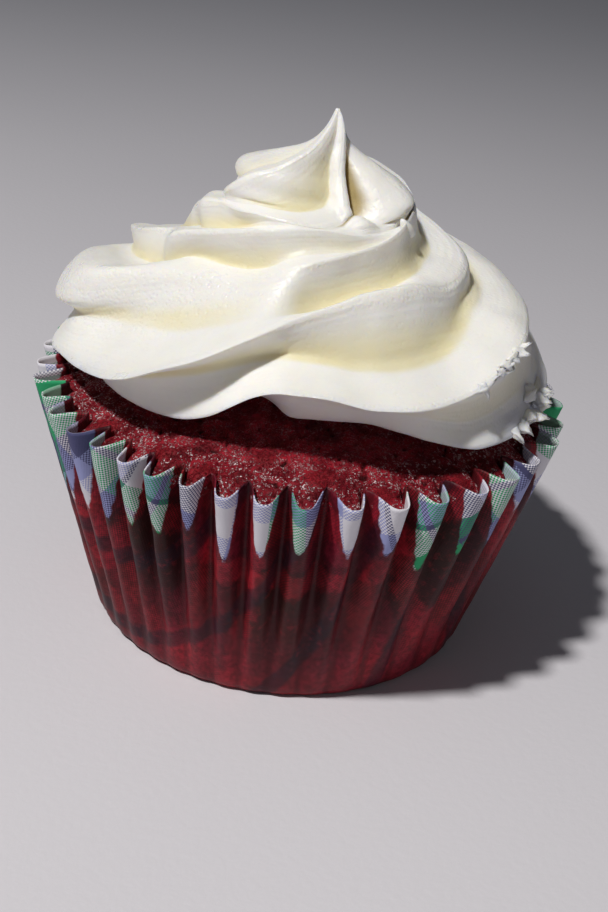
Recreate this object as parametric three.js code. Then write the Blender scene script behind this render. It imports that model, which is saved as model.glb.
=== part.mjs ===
// Cupcake: a pleated paper case, a domed sponge and a piped swirl of frosting.
// Millimetres, +Z up. The origin is the centre of the case's flat underside.
import * as THREE from 'three';

// ---------------------------------------------------------------- driving sizes
const CASE_HEIGHT = 33;            // rim above the table
const CASE_BASE_R = 25.9;          // outer folds at the foot
const CASE_RIM_R = 35;             // outer folds at the rim
const PLEATS = 42;
const PLEAT_DEPTH_BASE = 0.6;      // fold depth at the foot
const PLEAT_DEPTH_RIM = 3.9;       // fold depth at the rim
const PAPER = 0.4;                 // wall of the case
const FLOOR = 0.5;                 // its floor
const FOOT_ROUND = 1.6;            // height over which the foot turns up
const GAP = 0.3;                   // clearance between neighbouring pieces

const CAKE_EDGE_Z = 31.4;          // where the sponge leaves the case
const DOME_TOP = 38;               // crown of the sponge
const DOME_DROP = 5.6;             // crown down to the edge
const DOME_EDGE_R = 30.6;
const DOME_POWER = 2.4;

const RIDGES = 6;                  // teeth of the piping tube
const PIPING_TURN = 400;           // degrees each ridge travels from the sponge to the tip
const SWIRL_PHASE = -95;           // azimuth where ridge 1 leaves the sponge

// One ridge of the swirl: travel in degrees, radius, height, depth of the furrow above it
const SWIRL_LAW = [
  [-30, 17.0, 37.4, 0.0], [-12, 22.0, 36.9, 0.2], [0, 26.5, 36.9, 0.6], [15, 28.3, 37.0, 1.2],
  [30, 28.6, 37.8, 1.7], [60, 29.3, 41.2, 2.3], [90, 30.5, 43.2, 2.6], [120, 27.0, 46.6, 2.8],
  [150, 21.5, 50.4, 2.7], [180, 17.0, 53.6, 2.6], [210, 14.2, 56.2, 2.5], [240, 12.9, 57.6, 2.4],
  [270, 12.3, 58.6, 2.6], [300, 11.2, 60.2, 3.0], [320, 9.0, 61.6, 2.8], [340, 6.4, 63.0, 2.2],
  [360, 4.2, 64.8, 1.4], [380, 2.4, 66.8, 0.8], [395, 1.0, 68.6, 0.2], [400, 0.25, 69.0, 0.0],
];
// Turn of the whole section with travel: a full turn with it low down, then it lags to the tip
const TWIST_LAW = [[-30, -30], [0, 0], [250, 250], [290, 288], [310, 306], [331, 322], [355, 337], [380, 348], [400, 354]];
// How far a section is a helix (1) or level (0)
const HELIX_LAW = [[-30, 1], [235, 1], [330, 0], [400, 0]];
// Hand-piped unevenness, one list for each ridge: [travel, half width, outward, upward]
const SWELLS = [
  [[-7, 15, -5.23, 1.38], [23, 17, -4.69, 2.42], [75, 41, 2.93, -5.33], [91, 21, -1.62, 0.08], [270, 13, -2.6, 0.92], [285, 29, -0.63, -2.93], [302, 47, 1.86, 1.2]],
  [[-10, 13, 2.38, -0.75], [36, 18, -1.03, -1.6], [61, 16, -1.11, 2.44], [152, 40, 4.91, -1.67], [194, 34, 4.21, -3.61], [297, 19, 1.88, -1.22], [366, 27, -1.89, 0.25]],
  [[-12, 9, 1.56, 0.39], [51, 51, 5.85, -2.96], [61, 23, -3.51, -0.96], [125, 35, -5.56, 4.17], [163, 15, -0.39, 1.19], [213, 50, 4.35, -3.83], [354, 60, -1.28, 0]],
  [[74, 27, 4.31, -2.09], [104, 14, 4.94, -2.56], [128, 36, -5.19, 0.56], [184, 15, -0.18, 0.91], [243, 25, 0.29, 0.44], [274, 39, -0.89, 0.07], [368, 41, -1.18, -0.02]],
  [[115, 22, 2.8, -1.01], [155, 10, -2.74, 0.21], [180, 60, 0.48, 0.55], [249, 15, -0.64, -0.15], [288, 25, -0.7, -2.36], [335, 35, 1.46, -1.16], [374, 21, -0.53, -1.23]],
  [[211, 17, 1.23, -1.36], [224, 9, 0.77, -0.12], [269, 24, 1.09, 0.29], [287, 8, 0.51, -0.4], [298, 11, -1.06, -0.59], [310, 54, -1.94, -1.73], [358, 33, -0.28, 0.67]],
];
// The same for the furrow above each ridge: [travel, half width, deeper]
const FURROW_SWELLS = [
  [[99, 51, -1.82], [281, 53, -3.28], [284, 25, 2.72]],
  [[35, 45, 0.92], [182, 60, -1.18], [308, 24, -0.4]],
  [[26, 22, 1.82], [118, 48, -1.86], [141, 22, 2.45]],
  [[-22, 25, 1.16], [50, 20, -1.04], [208, 47, -1.64]],
  [[-25, 49, 2.32], [243, 33, -2.06], [275, 13, -1.64]],
  [[-28, 53, 2.34], [161, 60, -0.9], [245, 42, -1.75]],
];
// How far a ridge stands ahead of the even turn: [travel, half width, degrees]
const AHEAD_SWELLS = [
  [],
  [],
  [],
  [],
  [[268, 18, -7.21], [303, 35, 27.08]],
  [[293, 12, 19.66], [312, 23, 20.39]],
];
const CREASE_AT = 0.55;            // place of the furrow's bottom between two ridges
const CREST_SOFT = 0.10;           // rounding of the crests, as a share of that spacing
const TIP_LEAN = 0.9;              // the tip leans this far towards +X
const FROSTING_COLUMNS_PER_RIDGE = 13;
const FROSTING_LEVELS = 32;

// ---------------------------------------------------------------- helpers
const rad = (deg) => (deg * Math.PI) / 180;

/** Monotone cubic through a table of [x, y...] rows, reading column c. */
function law(table, c, x) {
  const n = table.length;
  const X = (i) => table[i][0];
  const Y = (i) => table[i][c];
  if (x <= X(0)) return Y(0);
  if (x >= X(n - 1)) return Y(n - 1);
  let i = 0;
  while (x > X(i + 1)) i++;
  const h = (k) => X(k + 1) - X(k);
  const d = (k) => (Y(k + 1) - Y(k)) / h(k);
  const slope = (k) => {
    if (k === 0) return d(0);
    if (k === n - 1) return d(n - 2);
    if (d(k - 1) * d(k) <= 0) return 0;
    const a = 2 * h(k) + h(k - 1);
    const b = h(k) + 2 * h(k - 1);
    return (a + b) / (a / d(k - 1) + b / d(k));
  };
  const t = (x - X(i)) / h(i);
  return (1 + 2 * t) * (1 - t) ** 2 * Y(i) + t * (1 - t) ** 2 * h(i) * slope(i)
    + t * t * (3 - 2 * t) * Y(i + 1) + t * t * (t - 1) * h(i) * slope(i + 1);
}

const swell = (list, c, x) => list.reduce((sum, row) => sum + row[c] * Math.exp(-(((x - row[0]) / row[1]) ** 2)), 0);

/** Closed body from rings of points, each ring the same length, capped with fans at both ends. */
function bodyFromRings(rings, start, end) {
  const n = rings[0].length;
  const pos = [];
  const idx = [];
  for (const ring of rings) for (const p of ring) pos.push(...p);
  const at = (r, k) => r * n + (k % n);
  for (let r = 0; r + 1 < rings.length; r++) {
    for (let k = 0; k < n; k++) {
      const a = at(r, k), b = at(r, k + 1), c = at(r + 1, k + 1), d = at(r + 1, k);
      idx.push(a, b, c, a, c, d);
    }
  }
  const s = pos.length / 3;
  pos.push(...start);
  const e = pos.length / 3;
  pos.push(...end);
  for (let k = 0; k < n; k++) {
    idx.push(s, at(0, k + 1), at(0, k));
    idx.push(e, at(rings.length - 1, k), at(rings.length - 1, k + 1));
  }
  const g = new THREE.BufferGeometry();
  g.setAttribute('position', new THREE.Float32BufferAttribute(pos, 3));
  g.setIndex(idx);
  g.computeVertexNormals();
  return g;
}

// ---------------------------------------------------------------- paper case
/** Outer folds drift a little around the case, as pressed paper does; angles from the front, towards +X. */
const foldAzimuth = (u) => u + rad(4.78) + rad(2.25) * Math.sin(u) - rad(1.24) * Math.cos(u)
  - rad(2.33) * Math.sin(2 * u) - rad(3.45) * Math.cos(2 * u);
const foldBulge = (k) => 0.35 * Math.sin(2.4 * k) + 0.25 * Math.sin(5.1 * k + 1);

function caseRing(z, inset) {
  const h = THREE.MathUtils.clamp(z / CASE_HEIGHT, 0, 1);
  const foot = z < FOOT_ROUND ? 0.9 * (1 - Math.sqrt(Math.max(0, 1 - (1 - z / FOOT_ROUND) ** 2))) : 0;
  const outer = CASE_BASE_R + (CASE_RIM_R - CASE_BASE_R) * h - foot;
  const depth = PLEAT_DEPTH_BASE + (PLEAT_DEPTH_RIM - PLEAT_DEPTH_BASE) * h;
  const ring = [];
  // each pleat: out, out, in, in, so that both folds are a narrow flat
  const shares = [0.13, 0.37, 0.63, 0.87];
  for (let p = 0; p < PLEATS; p++) {
    for (let c = 0; c < 4; c++) {
      const u = ((p + 0.5 + shares[c] - 0.25) / PLEATS) * 2 * Math.PI;
      const out = c < 2;
      const wob = out ? foldBulge(p) * h * 0.5 : 0;
      const r = (out ? outer + Math.min(0, wob) : outer - depth) - inset;
      const a = foldAzimuth(u) - Math.PI / 2;
      ring.push([r * Math.cos(a), r * Math.sin(a), z]);
    }
  }
  return ring;
}

function paperCase() {
  const levels = [0, FOOT_ROUND * 0.35, FOOT_ROUND, CASE_HEIGHT];
  const outside = levels.map((z) => caseRing(z, 0));
  const inside = [CASE_HEIGHT, FOOT_ROUND, FLOOR].map((z) => {
    const ring = caseRing(z, PAPER);
    return ring;
  });
  return bodyFromRings([...outside, ...inside], [0, 0, 0], [0, 0, FLOOR]);
}

// ---------------------------------------------------------------- sponge
const domeZ = (r) => DOME_TOP - DOME_DROP * Math.min(1.2, r / DOME_EDGE_R) ** DOME_POWER;

function cake() {
  const columns = 84;
  const innerFold = (z) => CASE_BASE_R + (CASE_RIM_R - CASE_BASE_R) * (z / CASE_HEIGHT)
    - (PLEAT_DEPTH_BASE + (PLEAT_DEPTH_RIM - PLEAT_DEPTH_BASE) * (z / CASE_HEIGHT)) - PAPER - GAP;
  const profile = [];
  const z0 = FLOOR + GAP;
  profile.push([innerFold(0) - 1.6, z0], [innerFold(2.2), 2.2], [innerFold(CAKE_EDGE_Z), CAKE_EDGE_Z]);
  const rEdge = innerFold(CAKE_EDGE_Z);
  for (const share of [0.985, 0.93, 0.84, 0.7, 0.5, 0.25]) profile.push([rEdge * share, domeZ(rEdge * share)]);
  const rings = profile.map(([r, z], row) => {
    const ring = [];
    for (let k = 0; k < columns; k++) {
      const a = (k / columns) * 2 * Math.PI;
      const lump = row < 2 ? 0 : row === 2 ? 1 : 0;
      const rr = r - lump * 0.12 * (1 + Math.sin(9 * a + 1));
      ring.push([rr * Math.cos(a), rr * Math.sin(a), z]);
    }
    return ring;
  });
  return bodyFromRings(rings, [0, 0, z0], [0, 0, DOME_TOP]);
}

// ---------------------------------------------------------------- frosting
function ridgePoint(j, s) {
  return {
    r: law(SWIRL_LAW, 1, s) + swell(SWELLS[j], 2, s),
    z: law(SWIRL_LAW, 2, s) + swell(SWELLS[j], 3, s),
  };
}

/** Point of the swirl at share t of the way from ridge j to the next one up, at travel s. */
function swirlPoint(j, t, s) {
  const next = (j + 1) % RIDGES;
  const step = 360 / RIDGES;
  const helix = law(HELIX_LAW, 1, s);
  const sa = THREE.MathUtils.clamp(s - step * t * helix, -30, PIPING_TURN);
  const sb = THREE.MathUtils.clamp(s + step * (1 - t) * helix, -30, PIPING_TURN);
  const A = ridgePoint(j, sa);
  const B = ridgePoint(next, sb);
  const dr = B.r - A.r;
  const dz = B.z - A.z;
  const L = Math.hypot(dr, dz) + 1e-6;
  const nr = (helix * -dz) / L - (1 - helix);
  const nz = (helix * dr) / L;
  const arm = (x, x1) => {
    const u = (Math.hypot(x, CREST_SOFT) - CREST_SOFT) / (Math.hypot(x1, CREST_SOFT) - CREST_SOFT);
    return 1 - (1 - Math.min(1, u)) ** 1.5;
  };
  const w = t < CREASE_AT ? arm(t, CREASE_AT) : arm(1 - t, 1 - CREASE_AT);
  let depth = law(SWIRL_LAW, 3, sa) + swell(FURROW_SWELLS[j], 2, sa);
  depth = THREE.MathUtils.clamp(depth, 0, 0.55 * Math.min(A.r, B.r));
  const r = Math.max(0.12, A.r + dr * t + nr * depth * w);
  let z = A.z + dz * t + nz * depth * w;
  // the frosting stays clear of the sponge below it
  if (r < DOME_EDGE_R + 0.8) z = Math.max(z, domeZ(r) + GAP + 0.1);
  z = Math.max(z, CASE_HEIGHT + 1);
  const ahead = swell(AHEAD_SWELLS[j], 2, sa) * (1 - t) + swell(AHEAD_SWELLS[next], 2, sb) * t;
  const azimuth = SWIRL_PHASE - step * (j + t) + law(TWIST_LAW, 1, s) + ahead;
  const lean = TIP_LEAN * THREE.MathUtils.smoothstep(z, 56, 69);
  return [r * Math.cos(rad(azimuth)) + lean, r * Math.sin(rad(azimuth)), z];
}

function frosting() {
  const rings = [];
  for (let level = 0; level < FROSTING_LEVELS; level++) {
    const s = -30 + (PIPING_TURN + 28) * (level / (FROSTING_LEVELS - 1));
    const ring = [];
    // columns run backwards so that they go round counter-clockwise seen from above
    for (let c = RIDGES * FROSTING_COLUMNS_PER_RIDGE - 1; c >= 0; c--) {
      const j = Math.floor(c / FROSTING_COLUMNS_PER_RIDGE);
      const t = (c % FROSTING_COLUMNS_PER_RIDGE) / FROSTING_COLUMNS_PER_RIDGE;
      ring.push(swirlPoint(j, t, s));
    }
    rings.push(ring);
  }
  const under = 12;
  // the underside follows the sponge in to the axis
  const inner = rings[0].map(([x, y]) => {
    const r = Math.hypot(x, y);
    const k = under / r;
    return [x * k, y * k, domeZ(under) + GAP + 0.1];
  });
  return bodyFromRings([inner, ...rings], [0, 0, DOME_TOP + GAP + 0.1], [TIP_LEAN, 0, 69.1]);
}

// ---------------------------------------------------------------- assembly
function piece(name, geometry, color, roughness) {
  const mesh = new THREE.Mesh(geometry, new THREE.MeshStandardMaterial({ color, roughness, metalness: 0 }));
  mesh.name = name;
  return mesh;
}

const cupcake = new THREE.Group();
cupcake.add(piece('paper_case', paperCase(), 0x60222a, 0.6));
cupcake.add(piece('cake', cake(), 0x6b1620, 0.75));
cupcake.add(piece('frosting', frosting(), 0xf2efe6, 0.5));

export default cupcake;
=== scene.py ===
"""A red sponge cupcake in a pleated tartan paper case, with a tall piped swirl of frosting.

Everything is built in millimetres in the frame of the part (+Z up, -Y to the front, origin under the
case) and scaled to metres when a mesh is made.
"""
import math

import bpy
import numpy as np
from mathutils import Matrix, Vector


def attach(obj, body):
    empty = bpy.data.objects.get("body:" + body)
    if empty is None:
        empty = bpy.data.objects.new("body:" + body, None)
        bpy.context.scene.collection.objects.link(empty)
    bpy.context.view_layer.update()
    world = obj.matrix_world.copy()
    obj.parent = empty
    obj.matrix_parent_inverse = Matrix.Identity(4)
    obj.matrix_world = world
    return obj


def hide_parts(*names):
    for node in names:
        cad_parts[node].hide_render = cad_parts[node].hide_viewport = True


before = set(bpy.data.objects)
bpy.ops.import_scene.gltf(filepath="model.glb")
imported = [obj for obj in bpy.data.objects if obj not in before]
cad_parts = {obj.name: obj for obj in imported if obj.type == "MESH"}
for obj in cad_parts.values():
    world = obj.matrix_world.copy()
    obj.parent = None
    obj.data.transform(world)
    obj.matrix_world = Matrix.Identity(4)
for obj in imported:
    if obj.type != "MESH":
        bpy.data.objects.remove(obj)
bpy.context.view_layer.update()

MM = 0.001

# ------------------------------------------------------------------ camera
cam_data = bpy.data.cameras.new("camera")
cam_data.sensor_width = 36.0
cam_data.sensor_fit = "AUTO"
cam_data.lens = 55.26
cam_data.clip_start, cam_data.clip_end = 0.01, 20.0
camera = bpy.data.objects.new("camera", cam_data)
bpy.context.scene.collection.objects.link(camera)
cam_right = Vector((0.99376792, 0.05181545, 0.09869388))
cam_up = Vector((-0.11146893, 0.46194511, 0.87987578))
cam_back = Vector((0.0, -0.88539363, 0.46484205))
pose = Matrix((cam_right, cam_up, cam_back)).transposed().to_4x4()
pose.translation = Vector((1.4933, -169.4053, 110.3111)) * MM
camera.matrix_world = pose
bpy.context.scene.camera = camera


# ------------------------------------------------------------------ numbers
def smooth(x, a, b):
    t = np.clip((x - a) / (b - a), 0, 1)
    return t * t * (3 - 2 * t)


def monotone(x, xs, ys):
    """Monotone cubic through the stations (xs, ys), level beyond its ends."""
    xs, ys = np.asarray(xs, float), np.asarray(ys, float)
    h = np.diff(xs)
    d = np.diff(ys) / h
    m = np.zeros(len(xs))
    m[0], m[-1] = d[0], d[-1]
    for i in range(1, len(xs) - 1):
        if d[i - 1] * d[i] > 0:
            w1, w2 = 2 * h[i] + h[i - 1], h[i] + 2 * h[i - 1]
            m[i] = (w1 + w2) / (w1 / d[i - 1] + w2 / d[i])
    x = np.clip(x, xs[0], xs[-1])
    i = np.clip(np.searchsorted(xs, x, side="right") - 1, 0, len(xs) - 2)
    t = (x - xs[i]) / h[i]
    return ((1 + 2 * t) * (1 - t) ** 2 * ys[i] + t * (1 - t) ** 2 * h[i] * m[i]
            + t * t * (3 - 2 * t) * ys[i + 1] + t * t * (t - 1) * h[i] * m[i + 1])


def hashed(i, j, k, seed):
    """A repeatable pseudo-random number in 0..1 for each lattice point."""
    n = (i.astype(np.int64) * 73856093) ^ (j.astype(np.int64) * 19349663) ^ (k.astype(np.int64) * 83492791) ^ (seed * 2654435761)
    n = (n ^ (n >> 13)) * 1274126177 & 0x7FFFFFFF
    n = ((n ^ (n >> 15)) * 2246822519) & 0x7FFFFFFF
    n = (n ^ (n >> 13)) & 0x7FFFFFFF
    return n / float(0x7FFFFFFF)


def ripple(P, size, seed=0):
    """Smooth noise in -1..1 with features about `size` mm wide."""
    q = np.asarray(P, float) / size + 100.0
    i = np.floor(q).astype(int)
    f = q - i
    w = f * f * f * (f * (f * 6 - 15) + 10)
    total = np.zeros(len(q))
    for a in (0, 1):
        for b in (0, 1):
            for c in (0, 1):
                x, y, z = i[:, 0] + a, i[:, 1] + b, i[:, 2] + c
                th = hashed(x, y, z, seed) * 2 * np.pi
                ph = np.arccos(2 * hashed(x, y, z, seed + 17) - 1)
                g = (np.cos(th) * np.sin(ph) * (f[:, 0] - a) + np.sin(th) * np.sin(ph) * (f[:, 1] - b)
                     + np.cos(ph) * (f[:, 2] - c))
                wa = w[:, 0] if a else 1 - w[:, 0]
                wb = w[:, 1] if b else 1 - w[:, 1]
                wc = w[:, 2] if c else 1 - w[:, 2]
                total += g * wa * wb * wc
    return total * 1.6


def grains(P, size, seed=0):
    """Distance to the nearest and to the second nearest of scattered points, in cells."""
    q = np.asarray(P, float) / size + 100.0
    i = np.floor(q).astype(int)
    d1 = np.full(len(q), 9.0)
    d2 = np.full(len(q), 9.0)
    tag = np.zeros(len(q))
    for a in (-1, 0, 1):
        for b in (-1, 0, 1):
            for c in (-1, 0, 1):
                x, y, z = i[:, 0] + a, i[:, 1] + b, i[:, 2] + c
                px = x + hashed(x, y, z, seed + 1)
                py = y + hashed(x, y, z, seed + 2)
                pz = z + hashed(x, y, z, seed + 3)
                d = np.sqrt((q[:, 0] - px) ** 2 + (q[:, 1] - py) ** 2 + (q[:, 2] - pz) ** 2)
                near = d < d1
                d2 = np.where(near, d1, np.minimum(d2, d))
                tag = np.where(near, hashed(x, y, z, seed + 4), tag)
                d1 = np.where(near, d, d1)
    return d1, d2, tag


def grid_normals(P, wrap=True):
    """Unit normals of a grid of points [row, column, xyz]; columns go round, rows go up the outside."""
    du = np.roll(P, -1, 1) - np.roll(P, 1, 1) if wrap else np.gradient(P, axis=1)
    dv = np.gradient(P, axis=0)
    n = np.cross(du, dv)
    return n / np.maximum(np.linalg.norm(n, axis=-1, keepdims=True), 1e-9)


# ------------------------------------------------------------------ meshes
def body_from_rows(name, rows, start, end, maps=None, attrs=None, flip=False):
    """A closed mesh from rows of points (each the same number of columns, in mm), with a fan at each end.

    maps is the height of each row in the piece's own bake map; attrs are per-point values for the
    rows, each given with the value at the start and at the end pole.
    """
    rows = np.asarray(rows, float)
    R, C = rows.shape[:2]
    verts = np.concatenate([rows.reshape(-1, 3), [start], [end]]) * MM
    r = np.arange(R - 1)[:, None]
    c = np.arange(C)[None, :]
    c2 = (c + 1) % C
    quads = np.stack([r * C + c, r * C + c2, (r + 1) * C + c2, (r + 1) * C + c], -1).reshape(-1, 4)
    s, e = R * C, R * C + 1
    cc = np.arange(C)
    low = np.stack([np.full(C, s), (cc + 1) % C, cc], -1)
    top = np.stack([np.full(C, e), (R - 1) * C + cc, (R - 1) * C + (cc + 1) % C], -1)
    if flip:
        quads, low, top = quads[:, ::-1], low[:, ::-1], top[:, ::-1]
    loops = np.concatenate([quads.ravel(), low.ravel(), top.ravel()]).astype(np.int32)
    sizes = np.concatenate([np.full(len(quads), 4), np.full(2 * C, 3)]).astype(np.int32)
    starts = np.concatenate([[0], np.cumsum(sizes)[:-1]]).astype(np.int32)
    me = bpy.data.meshes.new(name)
    me.vertices.add(len(verts))
    me.vertices.foreach_set("co", verts.astype(np.float32).ravel())
    me.loops.add(len(loops))
    me.loops.foreach_set("vertex_index", loops)
    me.polygons.add(len(sizes))
    me.polygons.foreach_set("loop_start", starts)
    me.polygons.foreach_set("loop_total", sizes)
    me.update(calc_edges=True)
    me.validate()
    me.polygons.foreach_set("use_smooth", np.ones(len(sizes), bool))
    if maps is not None:
        u0 = np.broadcast_to(c / C, (R - 1, C))
        u1 = np.broadcast_to((c + 1) / C, (R - 1, C))
        v0 = np.broadcast_to(np.asarray(maps)[:-1, None], (R - 1, C))
        v1 = np.broadcast_to(np.asarray(maps)[1:, None], (R - 1, C))
        uv = np.stack([np.stack([u0, v0], -1), np.stack([u1, v0], -1), np.stack([u1, v1], -1), np.stack([u0, v1], -1)], 2)
        if flip:
            uv = uv[:, :, ::-1]
        uv = uv.reshape(-1, 2)
        a0, a1 = cc / C, (cc + 1) / C

        def fan(v_pole, v_ring, first):
            pole = np.stack([(a0 + a1) / 2, np.full(C, v_pole)], -1)
            p0, p1 = np.stack([a0, np.full(C, v_ring)], -1), np.stack([a1, np.full(C, v_ring)], -1)
            f = np.stack([pole, p1, p0] if first else [pole, p0, p1], 1)
            return (f[:, ::-1] if flip else f).reshape(-1, 2)

        uv = np.concatenate([uv, fan(0.0, maps[0], True), fan(1.0, maps[-1], False)])
        layer = me.uv_layers.new(name="OFBake")
        layer.data.foreach_set("uv", uv.astype(np.float32).ravel())
    for key, (values, v_start, v_end) in (attrs or {}).items():
        values = np.asarray(values, float)
        vector = values.ndim == 3
        layer = me.attributes.new(key, "FLOAT_VECTOR" if vector else "FLOAT", "POINT")
        if vector:
            flat = np.concatenate([values.reshape(-1, 3), [v_start], [v_end]])
            layer.data.foreach_set("vector", flat.astype(np.float32).ravel())
        else:
            flat = np.concatenate([values.ravel(), [v_start, v_end]])
            layer.data.foreach_set("value", flat.astype(np.float32))
    ob = bpy.data.objects.new(name, me)
    bpy.context.scene.collection.objects.link(ob)
    return ob


def row_heights(rows, low=0.02, high=0.98):
    """Heights of the rows in the bake map, by their mean distance apart."""
    step = np.linalg.norm(np.diff(rows, axis=0), axis=-1).mean(1)
    run = np.concatenate([[0], np.cumsum(step)])
    return low + (high - low) * run / run[-1]


# ------------------------------------------------------------------ node helpers
class Nodes:
    """Short calls for building one material's nodes."""

    def __init__(self, name):
        self.mat = bpy.data.materials.new(name)
        self.mat.use_nodes = True
        self.nt = self.mat.node_tree
        self.nt.nodes.clear()
        self.out = self.nt.nodes.new("ShaderNodeOutputMaterial")

    def new(self, kind, **props):
        n = self.nt.nodes.new(kind)
        for k, v in props.items():
            setattr(n, k, v)
        return n

    def put(self, socket, value):
        if isinstance(value, bpy.types.NodeSocket):
            self.nt.links.new(value, socket)
        else:
            socket.default_value = value

    def math(self, op, a, b=None, c=None, clamp=False):
        n = self.new("ShaderNodeMath", operation=op, use_clamp=clamp)
        for s, v in zip(n.inputs, (a, b, c)):
            if v is not None:
                self.put(s, v)
        return n.outputs[0]

    def attr(self, name):
        return self.new("ShaderNodeAttribute", attribute_name=name)

    def noise(self, vector, scale, detail=2.0, rough=0.5, kind="3D"):
        n = self.new("ShaderNodeTexNoise", noise_dimensions=kind)
        self.put(n.inputs["Vector"], vector)
        n.inputs["Scale"].default_value = scale
        n.inputs["Detail"].default_value = detail
        n.inputs["Roughness"].default_value = rough
        return n.outputs["Fac"]

    def ramp(self, fac, stops, interpolation="LINEAR"):
        n = self.new("ShaderNodeValToRGB")
        n.color_ramp.interpolation = interpolation
        els = n.color_ramp.elements
        while len(els) > 1:
            els.remove(els[-1])
        els[0].position, els[0].color = stops[0][0], self.rgba(stops[0][1])
        for p, col in stops[1:]:
            e = els.new(p)
            e.color = self.rgba(col)
        self.put(n.inputs["Fac"], fac)
        return n.outputs["Color"]

    @staticmethod
    def rgba(c):
        return (c, c, c, 1.0) if isinstance(c, (int, float)) else (*c, 1.0)

    def mix(self, fac, a, b, blend="MIX"):
        n = self.new("ShaderNodeMix", data_type="RGBA", blend_type=blend)
        self.put(n.inputs[0], fac)
        for s, v in ((n.inputs[6], a), (n.inputs[7], b)):
            self.put(s, v if isinstance(v, bpy.types.NodeSocket) else self.rgba(v))
        return n.outputs[2]

    def span(self, x, a, b, c=0.0, d=1.0, smoothed=True):
        n = self.new("ShaderNodeMapRange", interpolation_type="SMOOTHSTEP" if smoothed else "LINEAR")
        for s, v in zip(n.inputs, (x, a, b, c, d)):
            self.put(s, v)
        return n.outputs[0]

    def principled(self, **inputs):
        n = self.new("ShaderNodeBsdfPrincipled")
        for k, v in inputs.items():
            s = n.inputs[k.replace("_", " ")]
            self.put(s, self.rgba(v) if k == "Base_Color" and not isinstance(v, bpy.types.NodeSocket) else v)
        self.nt.links.new(n.outputs[0], self.out.inputs["Surface"])
        return n

    def bump(self, height, distance, strength=1.0, normal=None):
        n = self.new("ShaderNodeBump")
        n.inputs["Strength"].default_value = strength
        n.inputs["Distance"].default_value = distance
        self.put(n.inputs["Height"], height)
        if normal is not None:
            self.put(n.inputs["Normal"], normal)
        return n.outputs[0]


# ------------------------------------------------------------------ paper case
PLEATS = 42
PER_PLEAT = 16
CASE_H, BASE_R, RIM_R = 33.0, 25.9, 35.0
PAPER_T = 0.15


def fold_azimuth(u):
    """Where the fold at the even azimuth u (degrees from the front) really stands."""
    a = np.radians(u)
    return u + 4.78 + 2.25 * np.sin(a) - 1.24 * np.cos(a) - 2.33 * np.sin(2 * a) - 3.45 * np.cos(2 * a)


def fold_depth(h):
    return 0.10 + 3.90 * np.clip(h, 0, 1.05) ** 1.18


def pleat_values(p, amount, seed):
    return amount * (2 * hashed(np.asarray(p) % PLEATS, np.asarray(p) * 0 + 3, np.asarray(p) * 0 + 5, seed) - 1)


def case_point(pleat, phase, h, drop=0.0):
    """Outer face of the case: pleat number, phase in the pleat (0 = outer fold), share of the height."""
    soft = 1.25 + 0.55 * h
    f = 1 - 2 * ((1 - np.cos(2 * np.pi * phase)) / 2) ** soft
    deep = fold_depth(h) * (1 + pleat_values(pleat, 0.10, 11) * h)
    out = BASE_R + (RIM_R - BASE_R) * h + np.minimum(0, pleat_values(pleat, 0.45, 12)) * h * h
    r = out - deep * (1 - f) / 2 - drop
    # the crest of a fold leans a little to one side, more towards the rim
    lean = pleat_values(pleat, 0.055, 13) * (f + 1) / 2 * h
    u = (pleat + 0.5 + phase + lean) * 360.0 / PLEATS
    return r, fold_azimuth(u), f


def to_xyz(r, az, z):
    a = np.radians(az)
    return np.stack([r * np.sin(a), -r * np.cos(a), z + 0 * r], -1)


def foot_drop(z):
    return 0.9 * (1 - np.sqrt(np.clip(1 - (1 - np.clip(z, 0, 1.6) / 1.6) ** 2, 0, 1)))


cols = PLEATS * PER_PLEAT
ci = np.arange(cols)
pleat = ci // PER_PLEAT - PLEATS // 2
phase = (ci % PER_PLEAT) / PER_PLEAT - 0.5
# denser where the folds turn
phase = phase + 0.035 * np.sin(4 * np.pi * phase)


def wall_rows(heights, scale=1.0):
    rows = []
    for h in heights:
        z0 = h * CASE_H
        r, az, f = case_point(pleat, phase, h, foot_drop(z0))
        rim = CASE_H + 0.55 * (1 - f) / 2 + 0.22 * pleat_values(pleat, 1, 21) * (1 - f * f)
        rows.append(to_xyz(r, az, 0 * r + rim * h * scale))
    return np.array(rows)


foot = [0.0, 0.006, 0.018, 0.036, 0.06]
heights = np.concatenate([foot, np.linspace(0.085, 1.0, 62)])
wall = wall_rows(heights)
# dents and soft creases that run down the flutes
wn = grid_normals(wall)
flat_wall = wall.reshape(-1, 3)
dent = 0.10 * ripple(flat_wall * [1, 1, 0.35], 3.0, 31) + 0.05 * ripple(flat_wall * [1, 1, 0.5], 1.3, 32)
dent = dent.reshape(wall.shape[:2]) * smooth(heights, 0.02, 0.2)[:, None] * (1 - 0.7 * smooth(heights, 0.93, 1.0))[:, None]
wall = wall + wn * dent[..., None]
wn = grid_normals(wall)
inner = wall - wn * PAPER_T
inner[..., 2] = np.maximum(inner[..., 2], 0.22)
inner[-1, :, 2] = wall[-1, :, 2] - 0.01
# place on the flat disc that the case was pressed from
seg = np.linalg.norm(np.diff(np.concatenate([wall, wall[:, :1]], 1), axis=1), axis=-1)
share = np.zeros(wall.shape[:2])
for k in range(PLEATS):
    part = seg[:, k * PER_PLEAT:(k + 1) * PER_PLEAT]
    run = np.cumsum(part, 1) / part.sum(1, keepdims=True)
    share[:, k * PER_PLEAT] = k
    share[:, k * PER_PLEAT + 1:(k + 1) * PER_PLEAT] = k + run[:, :-1]
climb = np.linalg.norm(np.diff(wall, axis=0), axis=-1)
slant = np.concatenate([np.zeros((1, cols)), np.cumsum(climb, 0)]) + 25.0
ang = share / PLEATS * 2 * np.pi
disc = np.stack([slant * np.sin(ang), -slant * np.cos(ang), slant], -1)
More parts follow.
